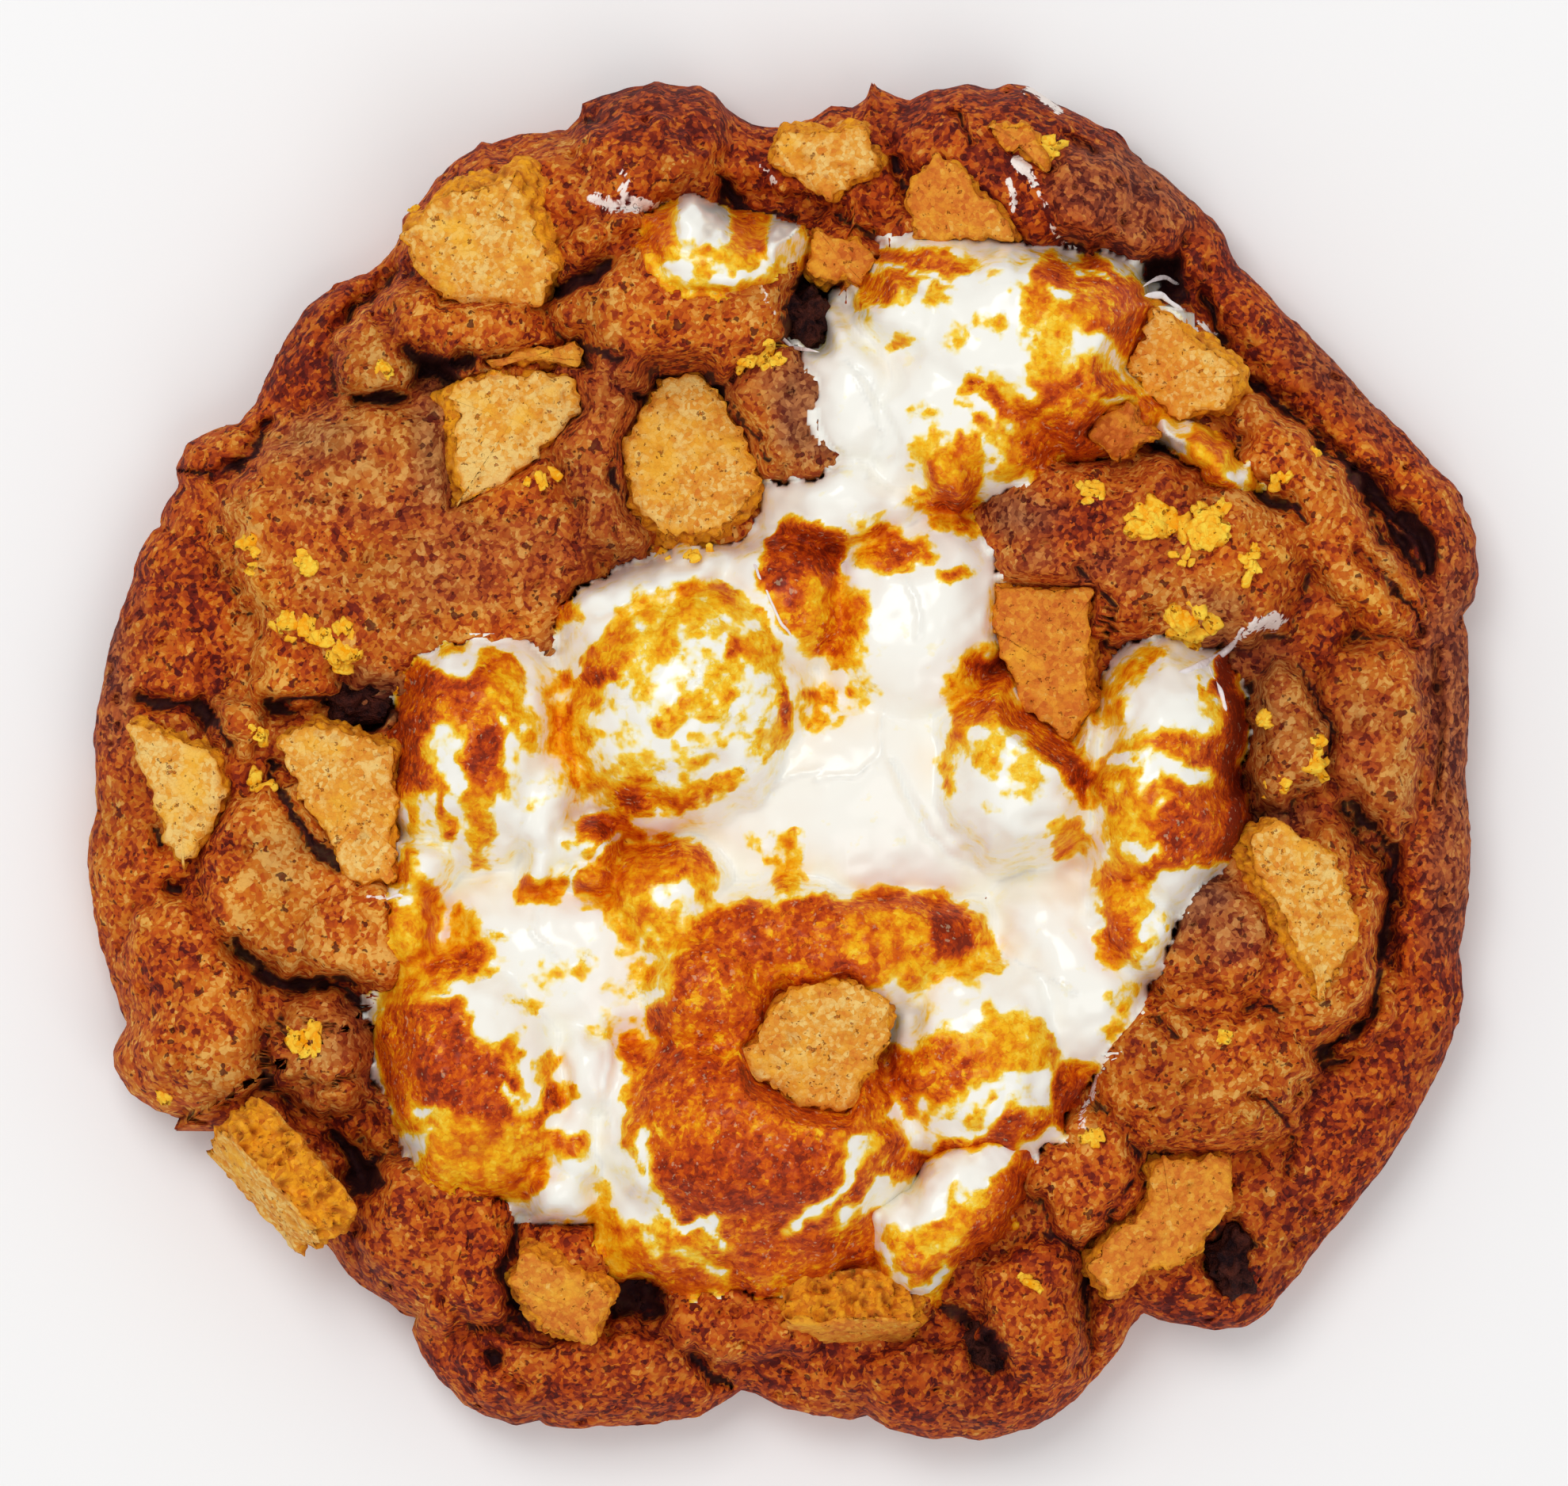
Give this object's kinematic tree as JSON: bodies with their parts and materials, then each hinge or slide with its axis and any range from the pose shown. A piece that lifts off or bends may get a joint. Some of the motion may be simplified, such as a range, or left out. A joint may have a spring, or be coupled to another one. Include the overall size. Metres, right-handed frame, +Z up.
{
  "type": "s'mores cookie",
  "caption": "Round thick baked cookie with toasted marshmallow melted over its top and broken graham crackers and chocolate pressed into it.",
  "frame": {"origin": "on the flat underside, at the middle of the cookie's box", "axes": "+Z up out of the cookie's top, +X to the right and +Y to the back as the picture shows it from above"},
  "size_m": [0.0999, 0.0977, 0.0246],
  "materials": {
    "dough": "matte baked crumb, darker and smoother round the rim",
    "marshmallow": "glossy melted white with toasted yellow, orange and brown skins",
    "cracker": "matte golden wafer with small brown pits and crumbly broken sides",
    "chocolate": "dark satin chocolate"
  },
  "bodies": {
    "root": {"chocolate_1": "chocolate", "chocolate_2": "chocolate", "chocolate_3": "chocolate", "chocolate_4": "chocolate", "cracker_01": "cracker", "cracker_02": "cracker", "cracker_03": "cracker", "cracker_04": "cracker", "cracker_05": "cracker", "cracker_06": "cracker", "cracker_07": "cracker", "cracker_08": "cracker", "cracker_09": "cracker", "cracker_10": "cracker", "cracker_11": "cracker", "cracker_12": "cracker", "cracker_13": "cracker", "cracker_14": "cracker", "cracker_15": "cracker", "cracker_16": "cracker", "cracker_17": "cracker", "cracker_18": "cracker", "cracker_19": "cracker", "dough": "dough", "marshmallow": "marshmallow", "marshmallow_back": "marshmallow", "marshmallow_front": "marshmallow", "marshmallow_sliver": "marshmallow"}
  },
  "joints": []
}
